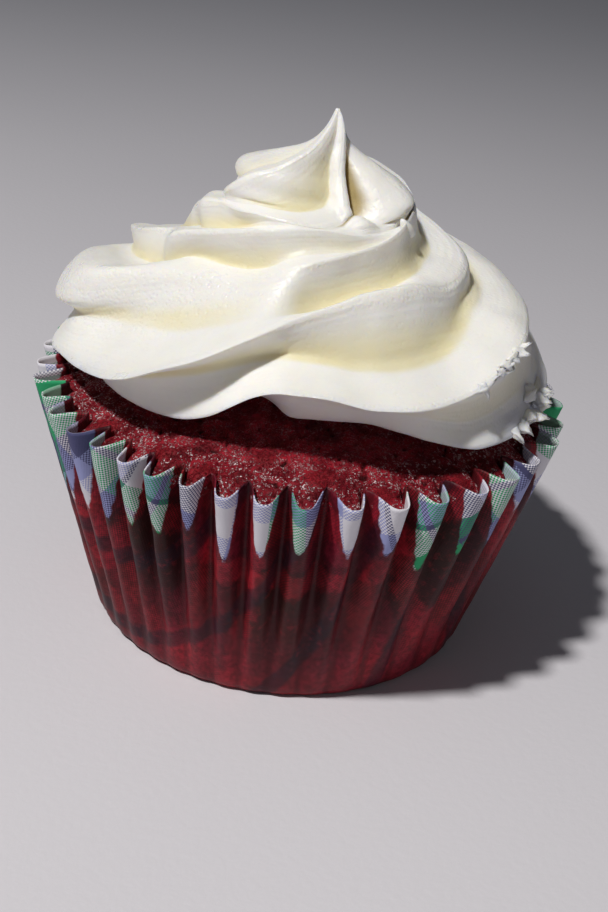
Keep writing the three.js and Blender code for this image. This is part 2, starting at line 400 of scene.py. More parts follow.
# how far above the edge of the grease stain each point is
notch_len = np.array([7.2 + 1.6 * math.cos(math.radians(k * 360 / PLEATS) * 2 + 2.9) for k in range(PLEATS)])
long_at = pleat_values(np.arange(PLEATS) - PLEATS // 2, 2.9, 41)
side = np.abs(((np.arange(PLEATS) - PLEATS // 2 + 0.5) * 360 / PLEATS))
notch_len = 8.9 + long_at + 5.0 * smooth(side, 52, 85)
tilt = pleat_values(np.arange(PLEATS) - PLEATS // 2, 1.2, 42)
width = 0.350 + pleat_values(np.arange(PLEATS) - PLEATS // 2, 0.055, 43) + 0.05 * smooth(side, 52, 85)
pi = pleat + PLEATS // 2
zr = wall[-1, :, 2][None, :] - wall[..., 2]          # below the rim
q = np.abs(phase - 0.02 + tilt[pi] * 0.045 * zr / 6) / width[pi]
dry = notch_len[pi] * (1 - np.clip(q, 0, 2) ** 1.9) - zr
dry = dry / (1 + notch_len[pi] * 0.22)
streak = np.stack([share, slant / 16.0, 0 * share], -1)
fold_value = np.broadcast_to(case_point(pleat, phase, 1.0)[2], wall.shape[:2])

floor_r = [6.0, 12.0, 18.0, 22.5, 24.4]
under, over = [], []
for rr in floor_r:
    t = rr / 25.0
    base = wall[0] * [t, t, 0]
    under.append(base + [0, 0, 0.0])
    over.append(base * [0.985, 0.985, 0] + [0, 0, 0.22])
under, over = np.array(under), np.array(over)[::-1]
case_rows = np.concatenate([under, wall, inner[::-1], over])


def like(value, rows):
    return np.broadcast_to(value, (len(rows), cols)) if np.ndim(value) < 2 else value


disc_rows = np.concatenate([under * [1, 1, 0] + [0, 0, 10], disc, disc[::-1], over * [1, 1, 0] + [0, 0, 10]])
streak_rows = np.concatenate([0 * under, streak, streak[::-1], 0 * over])
dry_rows = np.concatenate([like(-9.0, under), dry, dry[::-1], like(-9.0, over)])
face_rows = np.concatenate([like(0.0, under), like(0.0, wall), like(1.0, inner), like(1.0, over)])
fold_rows = np.concatenate([like(0.0, under), fold_value, fold_value[::-1], like(0.0, over)])
case = body_from_rows("paper_case_fine", case_rows, (0, 0, 0.0), (0, 0, 0.22), row_heights(case_rows),
                      {"disc": (disc_rows, (0, 0, 0), (0, 0, 0)), "streak": (streak_rows, (0, 0, 0), (0, 0, 0)), "dry": (dry_rows, -9, -9),
                       "inside": (face_rows, 0, 1), "fold": (fold_rows, 0, 0)})

# ------------------------------------------------------------------ sponge
DOME_TOP, DOME_DROP, DOME_R, DOME_P = 38.0, 5.6, 30.6, 2.4


def dome(r):
    return DOME_TOP - DOME_DROP * np.clip(r / DOME_R, 0, 1.25) ** DOME_P


CAKE_PER = 20
ccols = PLEATS * CAKE_PER
cj = np.arange(ccols)
cpleat = cj // CAKE_PER - PLEATS // 2
cphase = (cj % CAKE_PER) / CAKE_PER - 0.5


def cake_edge(z):
    """Radius and azimuth of the sponge where it fills the pleats at height z."""
    h = z / CASE_H
    r, az, f = case_point(cpleat, cphase, np.asarray(h))
    fill = np.minimum(r, BASE_R + (RIM_R - BASE_R) * h - 1.3)
    return fill - 0.42, az, f


EDGE_Z = 31.2
edge_r, edge_az, edge_f = cake_edge(EDGE_Z)
# rows from the crown out to the edge, dense where it shows
rho = np.concatenate([[0.12, 0.26, 0.38, 0.48], np.linspace(0.54, 0.965, 92), 1 - 0.035 * np.linspace(1, 0, 10)[1:] ** 1.6])
tops = []
even_az = (cpleat + 0.5 + cphase) * 360.0 / PLEATS
even_az = fold_azimuth(even_az)
for q_ in rho:
    b = float(smooth(np.array(q_), 0.90, 1.0)) ** 1.3
    r = 31.0 * q_ * (1 - b) + edge_r * q_ * b
    az = even_az * (1 - b) + edge_az * b
    zz = dome(31.3 * q_ ** 1.0)
    turn = np.clip((q_ - 0.93) / 0.07, 0, 1)
    zz = zz - 1.35 * (1 - np.sqrt(np.clip(1 - turn ** 2, 0, 1)))
    tops.append(to_xyz(r, az, zz + 0 * r))
tops = np.array(tops)[::-1]          # from the edge inwards
downs = []
for z in (1.2, 3.0, 8.0, 14.0, 20.0, 26.0, 29.0, 30.3):
    r, az, _ = cake_edge(z)
    downs.append(to_xyz(r - (0.8 if z < 2 else 0), az, z + 0 * r))
downs = np.array(downs)
bottoms = np.array([to_xyz(0 * edge_r + rr, edge_az, 0.75 + 0 * edge_r) for rr in (8.0, 16.0, 21.0, 23.6)])
cake_rows = np.concatenate([bottoms, downs, tops])
n_low = len(bottoms) + len(downs)
top_n = grid_normals(cake_rows)[n_low:]
top_p = cake_rows[n_low:]
pts = top_p.reshape(-1, 3)
lump = 0.34 * ripple(pts, 5.2, 51) + 0.22 * ripple(pts, 2.3, 52)
f1, f2, tag = grains(pts, 0.62, 53)
crumb = 0.25 * (0.75 - f1)
g1, g2, _ = grains(pts, 1.35, 54)
crumb += 0.24 * (0.62 - g1)
pits = -0.42 * smooth(ripple(pts, 0.9, 55), 0.42, 0.8) - 0.35 * smooth(ripple(pts, 1.9, 56), 0.5, 0.85)
# a few smooth swollen beads stand in the crumb
bead_at = [(-9.6, -29.0, 0.8, 2.6), (-15.2, -25.6, 0.65, 2.1), (3.6, -28.6, 0.6, 2.4), (19.5, -24.0, 0.6, 2.4),
           (11.0, -28.9, 0.45, 1.8), (-22.5, -19.8, 0.5, 2.0), (25.2, -17.5, 0.5, 2.1), (-3.0, -26.2, 0.45, 1.7),
           (-27.0, 9.0, 0.6, 2.2), (20.0, 21.0, 0.6, 2.4), (-8.0, 28.0, 0.6, 2.3), (8.0, 28.5, 0.5, 2.0)]
bead = np.zeros(len(pts))
sleek = np.zeros(len(pts))
for bx, by, bh, bw in bead_at:
    d = np.hypot(pts[:, 0] - bx, (pts[:, 1] - by) * 1.5)
    bead += bh * np.exp(-(d / bw) ** 2)
    sleek = np.maximum(sleek, np.exp(-(d / (bw * 0.9)) ** 4))
fade = smooth(rho, 0.30, 0.5)[::-1][:, None] * np.ones((1, ccols))
edge_fade = np.ones_like(fade)
edge_fade[:4] = np.array([0.1, 0.3, 0.55, 0.8])[:, None]
relief = (lump + bead + (crumb + pits) * (1 - 0.75 * sleek)).reshape(top_p.shape[:2]) * fade * edge_fade
cake_rows[n_low:] = top_p + top_n * relief[..., None]
speck = (tag * (f1 < 0.42)).reshape(top_p.shape[:2])
low_zero = np.zeros((n_low, ccols))
cake = body_from_rows("cake_fine", cake_rows, (0, 0, 0.75), (0, 0, DOME_TOP - 0.4), row_heights(cake_rows),
                      {"relief": (np.concatenate([low_zero, (crumb + pits).reshape(top_p.shape[:2]) * fade]), 0, 0),
                       "sleek": (np.concatenate([low_zero, sleek.reshape(top_p.shape[:2])]), 0, 0)})

# ------------------------------------------------------------------ frosting
# The tube has six teeth, so six ridges climb from the sponge to the tip. Each is a law of travel
# (degrees turned) -> radius and height, with a furrow above it.
LAW_S = [-30, -12, 0, 15, 30, 60, 90, 120, 150, 180, 210, 240, 270, 300, 320, 340, 360, 380, 395, 400]
LAW_R = [17, 22, 26.5, 28.3, 28.6, 29.3, 30.5, 27.0, 21.5, 17.0, 14.2, 12.9, 12.3, 11.2, 9.0, 6.4, 4.2, 2.4, 0.6, 0.15]
LAW_Z = [37.4, 36.9, 36.9, 37.0, 37.8, 41.2, 43.2, 46.6, 50.4, 53.6, 56.2, 57.6, 58.6, 60.2, 61.6, 63.0, 64.8, 66.8, 68.6, 69.0]
RIDGE_KEYS = {
    1: [(-12, 17.5, 38.2), (-3, 19.5, 38.1), (3, 23.0, 38.3), (12, 23.8, 38.6), (25, 24.4, 38.5), (33, 26.4, 38.1), (41, 28.8, 37.2),
        (50, 31.0, 36.2), (60, 31.8, 36.4), (72, 32.0, 36.6), (86, 31.7, 38.2), (100, 30.4, 40.6), (115, 28.6, 43.8), (130, 25.6, 47.0),
        (230, 13.2, 57.0), (242, 12.9, 57.2), (250, 12.1, 57.3), (257, 11.0, 57.5), (265, 10.2, 57.7), (277, 10.8, 57.8), (286, 12.3, 57.4),
        (293, 12.7, 58.2), (300, 12.6, 59.1), (310, 11.8, 60.8), (320, 10.6, 62.0), (331, 8.8, 62.8), (345, 6.6, 64.1), (360, 4.6, 65.3),
        (375, 2.7, 66.7), (390, .9, 68.2)],
    2: [(0, 27.6, 36.0), (14, 28.2, 36.5), (23, 27.9, 36.4), (34, 27.6, 36.7), (42, 27.4, 38.0), (49, 27.8, 40.4), (55, 27.8, 42.5),
        (62, 28.5, 43.7), (71, 28.8, 43.7), (81, 29.9, 42.9), (93, 30.8, 43.0), (105, 30.3, 43.5), (112, 30.4, 44.7), (120, 30.2, 46.0),
        (130, 29.1, 47.4), (142, 27.9, 47.6), (152, 27.0, 47.7), (161, 26.0, 48.2), (171, 24.8, 49.0), (182, 23.4, 49.8), (200, 20.0, 51.8),
        (224, 16.0, 54.6), (286, 13.2, 57.8), (300, 13.0, 59.2), (309, 11.9, 60.5), (320, 9.8, 61.6), (335, 6.5, 63.0), (350, 3.8, 64.1),
        (365, 1.9, 65.4), (380, .9, 67.0), (394, .4, 68.5)],
    3: [(0, 29, 36), (20, 32.6, 34.9), (38, 33.1, 35.2), (50, 31.9, 36.6), (60, 31.3, 37.6), (70, 31.2, 38.7), (84, 31.6, 41.2),
        (94, 30.6, 44.2), (100, 29.2, 45.6), (107, 26.7, 47.5), (115, 23.9, 49.2), (123, 21.7, 50.5), (136, 19.7, 51.8), (145, 19.0, 52.5),
        (162, 19.0, 53.0), (174, 19.0, 52.2), (184, 19.1, 51.6), (194, 19.3, 51.8), (204, 19.2, 52.3), (214, 18.7, 52.8), (228, 17.2, 53.6),
        (246, 15.2, 55.0), (270, 13.2, 57.3), (300, 10.8, 60.2), (320, 8.2, 61.6), (340, 5.2, 63.0), (360, 3.0, 64.8),
        (380, 1.1, 66.8), (394, .4, 68.4)],
    4: [(60, 32.6, 39.5), (84, 34.0, 40.6), (96, 33.9, 41.0), (104, 32.5, 41.8), (111, 29.0, 43.5), (117, 25.0, 45.5),
        (123, 21.9, 47.0), (130, 20.2, 48.5), (138, 19.0, 49.7), (150, 17.8, 50.6), (160, 17.2, 51.7), (170, 16.9, 53.2),
        (180, 16.3, 54.6), (190, 15.4, 55.3), (204, 14.4, 56.0), (218, 13.9, 56.7), (230, 13.4, 57.5), (240, 12.7, 58.1),
        (250, 12.2, 58.5), (262, 11.8, 58.6), (280, 11.2, 59.2), (300, 10.6, 60.2), (320, 8.4, 61.6), (340, 5.6, 63.0),
        (360, 3.2, 64.8), (380, 1.1, 66.8), (394, .4, 68.4)],
    5: [(100, 31.8, 43.6), (112, 31.0, 44.6), (124, 29.3, 46.6), (136, 25.2, 48.6), (148, 20.9, 50.8), (154, 18.6, 51.6),
        (159, 17.7, 52.0), (165, 18.5, 52.3), (172, 18.6, 53.1), (178, 17.9, 54.0), (198, 15.4, 55.8), (220, 14.0, 57.2),
        (240, 12.6, 57.7), (254, 12.0, 57.6), (266, 12.0, 57.2), (274, 11.9, 57.0), (282, 11.5, 56.9), (290, 11.2, 56.9),
        (298, 11.1, 57.6), (306, 11.0, 58.6), (314, 10.7, 59.5), (322, 10.1, 60.3), (335, 8.4, 61.4), (350, 6.2, 62.5),
        (365, 4.2, 63.7), (380, 2.1, 65.3), (394, .7, 68.1)],
    6: [(176, 17.4, 53.2), (195, 15.9, 54.4), (212, 15.4, 54.8), (224, 14.8, 56.0), (232, 13.6, 56.8), (240, 12.8, 57.35),
        (250, 12.75, 57.5), (260, 12.65, 57.75), (270, 12.25, 57.95), (280, 11.7, 57.8), (287, 11.0, 57.5), (294, 9.4, 57.6),
        (301, 8.4, 58.1), (310, 7.95, 59.0), (320, 7.0, 60.0), (331, 5.7, 61.2), (345, 4.3, 62.9), (360, 3.1, 64.7),
        (380, 1.9, 67.0), (394, .8, 68.5)],
}
# the furrow above each ridge: travel, depth, place of its bottom (0 = this ridge, 1 = the next), softness of the bottom
FURROW_KEYS = {
    1: [(-30, .1, .5, .2), (0, .6, .5, .2), (25, 1.0, .5, .2), (60, 1.4, .5, .2), (80, 1.1, .5, .3), (110, .8, .5, .4),
        (135, 1.6, .5, .2), (180, 2.6, .5, .05), (215, 2.0, .5, .05), (232, .5, .5, .2), (260, .5, .5, .2), (274, 2.0, .4, .08),
        (290, 2.4, .35, .04), (300, 1.8, .26, .04), (315, 1.3, .2, .05), (335, 1.2, .2, .05), (360, .9, .3, .05),
        (400, 0, .5, .05)],
    2: [(-12, .4, .6, .05), (10, 1.6, .62, .05), (34, 2.8, .67, .05), (50, 3.0, .72, .05), (57, 3.0, .69, .05),
        (64, 2.9, .62, .06), (71, 2.8, .55, .07), (83, 2.7, .50, .08), (104, 2.8, .47, .10), (110, 2.7, .51, .10),
        (116, 2.5, .60, .10), (123, 2.2, .72, .12), (131, 1.9, .82, .15), (142, 1.8, .80, .2), (152, 1.9, .72, .2),
        (170, 1.6, .62, .2), (200, 1.4, .5, .2), (286, 2.6, .4, .05), (330, 2.4, .5, .05), (360, 1.2, .5, .05),
        (400, 0, .5, .05)],
    3: [(0, .8, .5, .1), (20, 3.0, .74, .05), (38, 3.5, .86, .05), (51, 2.1, .90, .08), (57, 1.9, .86, .12), (63, 1.5, .78, .2),
        (78, 1.7, .69, .25), (94, 1.5, .66, .3), (104, 1.0, .56, .35), (111, .6, .42, .4), (117, 1.1, .3, .2),
        (124, 2.8, .28, .08), (140, 3.6, .28, .05), (162, 3.2, .3, .05), (178, 2.2, .4, .1), (194, 2.4, .5, .1),
        (240, 2.6, .5, .05), (300, 2.6, .5, .05), (360, 1.2, .5, .05), (400, 0, .5, .05)],
    4: [(60, 1.2, .75, .1), (78, 2.6, .78, .05), (95, 3.3, .79, .03), (111, 3.0, .82, .03), (123, 2.4, .74, .03),
        (138, 2.5, .52, .03), (154, 2.3, .36, .03), (163, 1.9, .35, .05), (172, 1.3, .45, .1), (182, 1.2, .5, .3),
        (205, 1.4, .5, .4), (220, .8, .5, .5), (236, .4, .5, .4), (248, 1.6, .4, .1), (262, 2.8, .4, .05), (300, 2.8, .5, .05),
        (360, 1.2, .5, .05), (400, 0, .5, .05)],
    5: [(90, 2.4, .5, .05), (130, 2.4, .6, .05), (155, 2.0, .65, .05), (180, 2.2, .6, .05), (192, 2.2, .76, .06),
        (203, 2.0, .84, .05), (215, 1.5, .86, .05), (226, .9, .84, .1), (238, .4, .7, .3), (270, .3, .6, .3),
        (279, .4, .65, .2), (286, 1.4, .80, .15), (293, 2.8, .84, .10), (312, 3.4, .84, .10), (330, 2.8, .82, .1),
        (350, 1.6, .76, .05), (372, .8, .5, .03), (400, 0, .5, .05)],
    6: [(90, 2.4, .5, .05), (180, 1.6, .7, .05), (220, .9, .8, .05), (232, .7, .6, .2), (245, .6, .4, .3), (262, .8, .34, .3),
        (275, 1.5, .3, .2), (290, 2.4, .26, .1), (300, 2.9, .22, .08), (310, 3.0, .22, .08), (320, 2.8, .25, .05),
        (333, 2.4, .32, .05), (342, 2.0, .40, .05), (350, 1.6, .45, .05), (375, .8, .5, .05), (400, 0, .5, .05)],
}
# how broadly each crest is rounded, as a share of the spacing
ROUND_KEYS = {
    1: [(-30, .15), (60, .12), (90, .06), (400, .06)],
    2: [(-30, .06), (400, .06)],
    3: [(-30, .08), (100, .08), (140, .12), (180, .2), (215, .2), (240, .08), (400, .06)],
    4: [(-30, .08), (60, .25), (84, .5), (130, .6), (150, .4), (165, .25), (185, .08), (400, .06)],
    5: [(-30, .08), (160, .08), (180, .14), (250, .1), (266, .4), (286, .4), (300, .35), (340, .3), (372, .1), (400, .06)],
    6: [(-30, .08, .08), (230, .1, .1), (245, .2, .05), (285, .45, .05), (298, .45, .08), (330, .4, .06), (360, .15, .06),
        (400, .06, .06)],
}
# outward swell of the face just above each ridge: travel, mm, share of the way that it fills, how squarely it ends
SWELL_KEYS = {
    1: [(-30, 0, .6, 1), (400, 0, .6, 1)],
    2: [(-30, 0, .6, 1), (105, 0, .6, 1), (130, .8, .6, 1), (165, .8, .6, 1), (190, 0, .6, 1), (400, 0, .6, 1)],
    3: [(-30, 0, .6, 1), (400, 0, .6, 1)],
    4: [(-30, 0, .7, 1), (50, .4, .6, 1), (75, 1.5, .62, .9), (90, 2.2, .62, .9), (100, 2.3, .62, .9), (108, 1.7, .62, .9),
        (122, .6, .7, .8), (138, .2, .6, .8), (160, 0, .6, 1), (400, 0, .6, 1)],
    5: [(-30, 0, .7, 1), (280, 0, .7, 1), (295, 2.0, .85, 1), (310, 2.7, .85, 1), (330, 1.9, .85, 1), (350, .9, .8, 1),
        (372, 0, .6, 1), (400, 0, .6, 1)],
    6: [(-30, 0, .6, 1), (170, 0, .6, 1), (190, .5, .7, .7), (222, .7, .7, .7), (238, 0, .6, 1), (400, 0, .6, 1)],
}
# how far each ridge stands ahead of the even twist, in degrees
AHEAD_KEYS = {
    5: [(-30, 0), (264, 0), (276, 9), (288, 20), (298, 27), (310, 27), (322, 20), (335, 12), (350, 5), (365, 1), (375, 0), (400, 0)],
    6: [(-30, 0), (272, 0), (281, 12), (288, 25), (295, 31), (303, 28), (312, 23), (322, 16), (333, 9), (345, 3), (360, 0),
        (400, 0)],
}
# tongues and hollows: ridge, travel, share of the way to the next ridge, their half-widths, height in mm
TOUCHES = [
    (5, 293, .27, 3.2, .045, -1.7),
    (5, 273, .45, 8, .20, 1.1),
    (6, 238, .50, 11, .35, .6),
]
# ragged stretches of crest: ridge, travel, half-length, half-width
TORN = [(2, 117, 8, .05), (2, 108.5, 2, .03), (1, 70, 7, .10)]
# rags that stand up there: ridge, travel, share of the way to the next ridge, length, half-width and half-thickness, lift
RAGS = [(2, 125, 0, .9, .9, .5, .9), (2, 122.8, 0, .9, 1.2, .6, .1), (2, 120.3, 0, .5, 1.0, .5, -.5), (2, 117.3, 0, .45, 1.3, .6, -.7),
        (2, 114.6, 0, .3, .9, .45, -1.0), (2, 108.8, 0, 1.1, .55, .4, -1.0), (1, 80, .06, 1.0, 2.0, 1.0, .6),
        (1, 76, .08, 1.2, 2.3, 1.2, .2), (1, 72, .05, 1.4, 1.8, 1.1, .0), (1, 68.5, .1, .9, 2.0, 1.1, .2),
        (1, 65, .04, 1.1, 1.3, .8, -.4), (1, 61.5, .03, 1.2, .9, .5, -.7), (1, 73, .28, .9, 2.1, 1.1, 1.1)]
# how full each ridge is below and above its crest: under 1 is a round lobe over a sharp crease
FULL_KEYS = {
    1: [(-30, 1.9, 1.3), (220, 1.9, 1.3), (235, 1.4, .7), (262, 1.4, .7), (280, 1.2, 1.2), (400, 1.3, 1.2)],
    2: [(-30, 1.9, 1.3), (270, 1.9, 1.3), (290, .7, .8), (345, .6, 1.0), (375, 1.0, 1.2), (400, 1.9, 1.3)],
    3: [(-30, 1.5, 1.3), (30, 1.5, 1.6), (50, 1.5, 1.1), (90, 1.3, 1.0), (105, 1.15, 1.0), (120, 1.1, 1.3), (190, 1.1, 1.3),
        (215, 1.6, 1.3), (400, 1.9, 1.3)],
    4: [(-30, 1.9, 1.3), (50, .8, .7), (75, .7, .35), (105, .7, .35), (122, .9, .5), (138, 1.1, .8), (160, 1.3, 1.0), (185, 1.3, 1.2),
        (250, 1.5, 1.3), (400, 1.9, 1.3)],
    5: [(-30, 1.9, 1.3), (120, 1.3, 1.3), (150, .9, 1.1), (160, .8, .9), (185, .9, 1.1), (205, 1.3, 1.3), (282, 1.5, 1.3),
        (296, 1.5, .6), (350, 1.6, .6), (372, 1.8, 1.1), (400, 1.9, 1.3)],
    6: [(-30, 1.9, 1.3), (160, 1.3, 1.3), (190, .8, .7), (222, .8, .7), (240, 1.9, 1.0), (260, 1.9, 1.0), (285, 1.8, 1.1),
        (300, 2.6, 1.1), (345, 2.6, 1.1), (370, 1.6, 1.2), (400, 1.6, 1.3)],
}
TWIST_S, TWIST_A = [-30, 0, 250, 290, 310, 331, 355, 380, 400], [-30, 0, 250, 288, 306, 322, 337, 348, 354]
HELIX_S, HELIX_A = [-30, 235, 330, 400], [1, 1, 0, 0]
START_AZ = -95.0


def ridge_table(j):
    keys = RIDGE_KEYS[j]
    rows = list(keys)
    for s, r, z in zip(LAW_S, LAW_R, LAW_Z):
        near = min(abs(s - k[0]) for k in keys)
        inside = [b for b in range(len(keys) - 1) if keys[b][0] < s < keys[b + 1][0]]
        gap = keys[inside[0] + 1][0] - keys[inside[0]][0] if inside else 999
        if near > 13 and gap > 45:
            rows.append((s, r, z))
    for s, r, z in ((-30, 17, 37.4), (400, 0.25, 69.0)):
        if s not in [k[0] for k in rows]:
            rows.append((s, r, z))
    return np.array(sorted(rows), float)


RIDGES = {j: ridge_table(j) for j in range(1, 7)}
FURROWS = {j: np.array(FURROW_KEYS[j], float) for j in range(1, 7)}
ROUNDS = {j: np.array([(*k, k[-1])[:3] for k in ROUND_KEYS[j]], float) for j in range(1, 7)}
AHEADS = {j: np.array(AHEAD_KEYS.get(j, [(-30, 0), (400, 0)]), float) for j in range(1, 7)}
SWELLS = {j: np.array(SWELL_KEYS[j], float) for j in range(1, 7)}


FULLS = {j: np.array(FULL_KEYS.get(j, [(-30, 1.9, 1.3), (400, 1.9, 1.3)]), float) for j in range(1, 7)}


def arm(x, end, soft, power):
    """Share of the furrow's depth from a rounded crest at x = 0 down to its bottom at x = end."""
    u = (np.sqrt(x * x + soft * soft) - soft) / (np.sqrt(end * end + soft * soft) - soft)
    u = np.clip(u, 0, 1)
    return np.where(power < 1, u ** (1 / np.minimum(power, 1)), 1 - (1 - u) ** np.maximum(power, 1))


def frosting_surface(turned, s):
    """turned: azimuth less the section's twist, degrees; s: travel.

    Gives the points, the share of the way to the next ridge, the share of the furrow's depth, the depth, and where
    its bottom is."""
    q = (START_AZ - turned) / 60.0
    k = np.floor(q + 1e-9).astype(int)
    t = np.clip(q - k, 0, 1)
    helix = monotone(s, HELIX_S, HELIX_A)
    s_a = np.clip(s - 60 * t * helix, -30, 400)
    s_b = np.clip(s + 60 * (1 - t) * helix, -30, 400)
    r_a, z_a, deep, at, soft, round_a, r_b, z_b, round_b, out = [np.zeros_like(s, dtype=float) for _ in range(10)]
    p_a, p_b, ahead_a, ahead_b, reach, square = [np.zeros_like(s, dtype=float) for _ in range(6)]
    j_a, j_b = k % 6 + 1, (k + 1) % 6 + 1
    for j in range(1, 7):
        m = j_a == j
        if m.any():
            a, f = RIDGES[j], FURROWS[j]
            r_a[m], z_a[m] = monotone(s_a[m], a[:, 0], a[:, 1]), monotone(s_a[m], a[:, 0], a[:, 2])
            deep[m], at[m], soft[m] = [monotone(s_a[m], f[:, 0], f[:, c]) for c in (1, 2, 3)]
            round_a[m] = np.interp(s_a[m], ROUNDS[j][:, 0], ROUNDS[j][:, 1])
            out[m], reach[m], square[m] = [np.interp(s_a[m], SWELLS[j][:, 0], SWELLS[j][:, c]) for c in (1, 2, 3)]
            p_a[m] = np.interp(s_a[m], FULLS[j][:, 0], FULLS[j][:, 2])
            ahead_a[m] = monotone(s_a[m], AHEADS[j][:, 0], AHEADS[j][:, 1])
        m = j_b == j
        if m.any():
            a = RIDGES[j]
            r_b[m], z_b[m] = monotone(s_b[m], a[:, 0], a[:, 1]), monotone(s_b[m], a[:, 0], a[:, 2])
            round_b[m] = np.interp(s_b[m], ROUNDS[j][:, 0], ROUNDS[j][:, 2])
            p_b[m] = np.interp(s_b[m], FULLS[j][:, 0], FULLS[j][:, 1])
            ahead_b[m] = monotone(s_b[m], AHEADS[j][:, 0], AHEADS[j][:, 1])
    dr, dz = r_b - r_a, z_b - z_a
    gap = np.hypot(dr, dz) + 1e-6
    nr, nz = -dz / gap, dr / gap
    nr, nz = helix * nr - (1 - helix), helix * nz
    w = np.where(t < at, arm(t, at, round_a, p_a), arm(1 - t, 1 - at, round_b, p_b))
    w = 1 - (np.sqrt((1 - w) ** 2 + soft * soft) - soft) / (np.sqrt(1 + soft * soft) - soft)
    depth = np.minimum(deep, 0.62 * np.minimum(r_a, r_b))
    o = depth * w - out * np.maximum(np.sin(np.pi * np.clip(t / reach, 0, 1)), 0) ** square
    for j, s_mid, t_mid, s_half, t_half, high in TOUCHES:
        o = o - high * (j_a == j) * np.exp(-((s_a - s_mid) / s_half) ** 2 - ((t - t_mid) / t_half) ** 2)
    r = np.maximum(r_a + dr * t + nr * o, 0.02)
    z = z_a + dz * t + nz * o
    az = np.radians(turned + monotone(s, TWIST_S, TWIST_A) + ahead_a * (1 - t) + ahead_b * t)
    lean = monotone(z, [33, 56, 62, 69], [0, 0, 0.3, 0.9])
    return np.stack([r * np.cos(az) + lean, r * np.sin(az), z], -1), t, w, depth, at


FCOLS = 66                                   # columns between two ridges
FROWS = 246
fc = np.arange(6 * FCOLS)
tau = (fc % FCOLS) / FCOLS
tcol = tau - 0.42 / (2 * np.pi) * np.sin(2 * np.pi * tau)
turned = START_AZ - 60.0 * (fc // FCOLS + tcol)
levels = np.linspace(0, 1, FROWS)
levels = -30 + 430 * (levels + 0.02 * np.sin(2 * np.pi * levels))
TT, SS = np.meshgrid(turned, levels)
fp, ft, fw, fd, f_at = frosting_surface(TT, SS)


def relax(P, rounds, weight=0.5):
    """Evens out the grid; rows go round, the first and last row stay."""
    for _ in range(rounds):
        mean = (np.roll(P, 1, 1) + np.roll(P, -1, 1)) * 0.25
        mean[1:-1] += (P[:-2] + P[2:])[:, :] * 0.25
        Q = P.copy()
        Q[1:-1] = P[1:-1] * (1 - weight) + mean[1:-1] * weight
        P = Q
    return P


fp = relax(fp, 3)


def near_crest(j, s_mid, s_half, t_half):
    """1 on the stretch of ridge j around s_mid, falling off along it and to both sides."""
    q = (START_AZ - TT) / 60.0
    k = np.floor(q + 1e-9).astype(int)
    t = q - k
    helix = monotone(SS, HELIX_S, HELIX_A)
    above = (k % 6 + 1 == j) * np.exp(-((SS - 60 * t * helix - s_mid) / s_half) ** 4 - (t / t_half) ** 2)
    below = ((k + 1) % 6 + 1 == j) * np.exp(-((SS + 60 * (1 - t) * helix - s_mid) / s_half) ** 4 - ((1 - t) / t_half) ** 2)
    return above + below


# stretches where the crest is a round roll: ridge, travel, half-length, half-width, rounds of evening out
for j, s_mid, s_half, t_half, rounds in ((4, 94, 24, .28, 70), (4, 132, 19, .34, 130), (1, 287, 12, .3, 50), (5, 318, 30, .2, 30), (4, 228, 14, .2, 30)):
    fp = relax(fp, rounds, 0.5 * near_crest(j, s_mid, s_half, t_half)[1:-1, :, None])
fn = -grid_normals(fp)
# the foot of the topmost ridge runs out in a tongue: points along it, and its half-width and height at each
TONGUE = [(2.9, -6.9, 58.4, .9, .2), (3.7, -7.6, 57.9, 1.3, .9), (4.8, -8.5, 57.6, 1.5, 1.15), (5.9, -9.0, 57.5, 1.3, .85), (6.3, -9.1, 57.5, 1.1, .5)]
for a, b in zip(TONGUE[:-1], TONGUE[1:]):
    run = np.array(b[:3]) - a[:3]
    x = np.clip(((fp - a[:3]) @ run) / (run @ run), 0, 1)
    away = np.linalg.norm(fp - a[:3] - x[..., None] * run, axis=-1) / (a[3] + x * (b[3] - a[3]))
    rise = np.sqrt(np.clip(1 - away ** 2, 0, 1)) * (a[4] + x * (b[4] - a[4]))
    tongue_rise = rise if a is TONGUE[0] else np.maximum(tongue_rise, rise)
fp = relax(fp + fn * tongue_rise[..., None], 9, 0.5 * smooth(tongue_rise, 0, 0.3)[1:-1, :, None])
flat = fp.reshape(-1, 3)
wave = 0.16 * ripple(flat, 6.5, 71) + 0.07 * ripple(flat, 2.4, 72)
# fine lines that run along the ridges, from the teeth of the tube
line_at = np.stack([(TT + 1000).ravel() * 0.55, (SS.ravel()) * 0.02, 0 * SS.ravel()], -1)
wave += 0.035 * ripple(line_at, 1.0, 73)
wave += 0.025 * ripple(flat, 0.8, 74)
# torn places where the cream stuck and pulled away
torn = np.zeros(SS.shape)
for j, s_mid, s_half, t_half in TORN:
    torn = np.maximum(torn, near_crest(j, s_mid, s_half, t_half))
rags = np.clip(ripple(flat * [1.6, 1.6, .8], 1.1, 75), -.2, 1).reshape(SS.shape) * 1.2 + .5 * ripple(flat, .6, 76).reshape(SS.shape)
torn_out = torn * rags
ease = smooth(SS, -30, 5) * (1 - 0.75 * smooth(SS, 340, 398))
fp = fp + fn * (wave.reshape(SS.shape) * ease + torn_out)[..., None]
# underside: down on to the sponge and in
ring = fp[0]
ring_r = np.hypot(ring[:, 0], ring[:, 1])[:, None]
unit = ring[:, :2] / ring_r


def under_ring(r, dz):
    r = np.broadcast_to(r, (len(ring), 1))
    return np.concatenate([unit * r, dome(r) + dz], 1)


lower = np.array([under_ring(8.0, -0.9), under_ring(12.5, -0.9), under_ring(15.2, -0.8), under_ring(ring_r * 0.955, -0.2),
                  under_ring(ring_r * 0.975, 0.25)])
frost_rows = np.concatenate([lower, fp])
zeros = np.zeros((len(lower), fp.shape[1]))
tip = fp[-1].mean(0) + [0, 0, 0.06]
